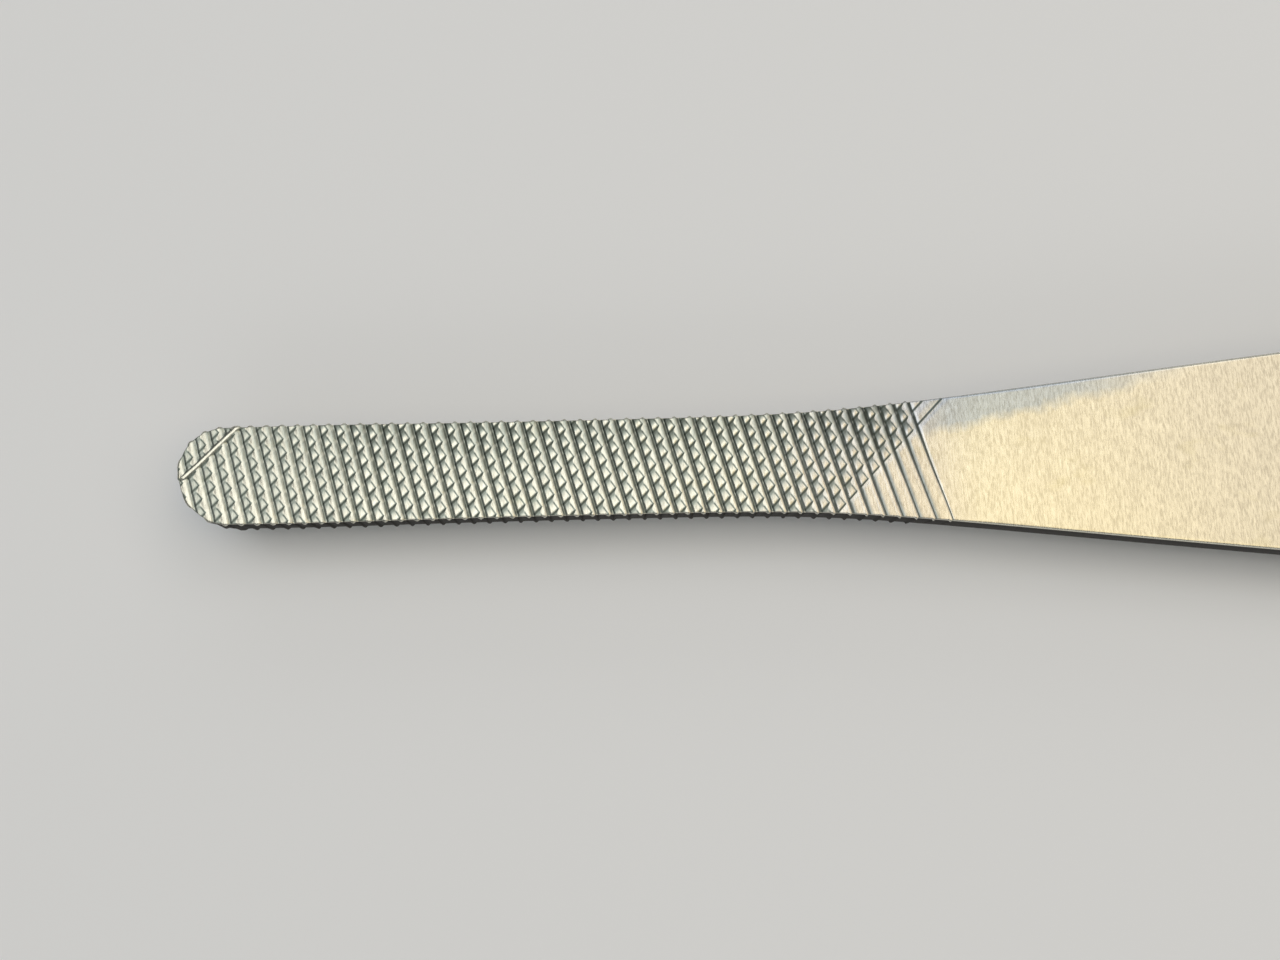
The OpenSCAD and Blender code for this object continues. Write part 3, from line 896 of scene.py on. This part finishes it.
# ---------------------------------------------------------------- floor, light and camera
def make_floor():
    """A wide pale floor, a hair below the handle so that the two don't share a plane."""
    half = 0.6
    mesh = bpy.data.meshes.new("floor")
    corners = [(-half, -half, 0), (half, -half, 0), (half, half, 0), (-half, half, 0)]
    mesh.from_pydata(corners, [], [(0, 1, 2, 3)])
    floor = bpy.data.objects.new("floor", mesh)
    floor.location.z = -0.02 * MM
    bpy.context.scene.collection.objects.link(floor)
    material, _, shader, _ = new_material("pale_floor")
    shader.inputs["Base Color"].default_value = (0.80, 0.82, 0.86, 1)
    shader.inputs["Roughness"].default_value = 0.8
    mesh.materials.append(material)


def soft_box(name, target, middle, spread, glow, colour, turn=0, distance=0.5):
    """A rectangular lamp, placed by its angles from straight up over the target towards +X and +Y, and by the
    angles that it spans either side of its middle, before it is turned about its own axis. glow is the
    radiance of its face."""
    across, along = (math.tan(math.radians(angle)) for angle in middle)
    way = Vector((across, along, 1)).normalized()
    data = bpy.data.lights.new(name, "AREA")
    data.shape = "RECTANGLE"
    data.size, data.size_y = (2 * distance * math.tan(math.radians(angle)) for angle in spread)
    data.color, data.energy = colour, glow * math.pi * data.size * data.size_y
    light = bpy.data.objects.new(name, data)
    light.location = Vector(target) + way * distance
    side = Vector((0, 1, 0)).cross(way).normalized()
    upright = Matrix((side, way.cross(side), way)).transposed()
    light.rotation_euler = (upright @ Matrix.Rotation(math.radians(turn), 3, "Z")).to_euler()
    bpy.context.scene.collection.objects.link(light)


# The camera aims at the blade's upper face, at this station and this far off the centreline
VIEW_STATION, VIEW_OFFSET, VIEW_DISTANCE = 21.4, -0.68, 44.5
VIEW_TILT, VIEW_TURN = math.radians(10.9), math.radians(-1.39)
aim = Vector((TIP_X + VIEW_STATION, VIEW_OFFSET, STEEL_TOP)) * MM


def make_camera():
    """A wide lens, close above the blade and tilted a little."""
    data = bpy.data.cameras.new("camera")
    data.sensor_width = 36.0
    data.lens = 27.03
    data.clip_start, data.clip_end = 0.002, 20.0
    camera = bpy.data.objects.new("camera", data)
    camera.rotation_euler = (VIEW_TILT, 0, VIEW_TURN)
    camera.location = aim + camera.rotation_euler.to_matrix() @ Vector((0, 0, VIEW_DISTANCE * MM))
    bpy.context.scene.collection.objects.link(camera)
    bpy.context.scene.camera = camera


def make_world():
    """A dim, slightly cool surround."""
    world = bpy.data.worlds.new("studio")
    bpy.context.scene.world = world
    world.use_nodes = True
    background = world.node_tree.nodes["Background"]
    background.inputs["Color"].default_value = (0.94, 0.98, 1.0, 1)
    background.inputs["Strength"].default_value = 0.24


make_floor()
make_world()
make_camera()
soft_box("overhead_strip", aim, (-13, 10), (24.5, 17), 1.83, (1.0, 0.99, 0.94))
soft_box("warm_side_box", aim, (25.5, -5), (9, 21), 1.7, (1.0, 0.83, 0.52), turn=19)
soft_box("right_side_box", aim, (43, 12), (11.5, 24), 1.2, (1.0, 0.85, 0.68), turn=19)
soft_box("near_edge_box", aim, (8, -64), (32, 9), 0.7, (1.0, 0.98, 0.93))
soft_box("far_edge_box", aim, (8, 66), (32, 8), 0.7, (1.0, 0.98, 0.93))
soft_box("far_side_box", aim, (26, 34), (14, 9.5), 1.1, (1.0, 0.985, 0.97), turn=19)
bpy.context.scene.view_settings.view_transform = "Standard"
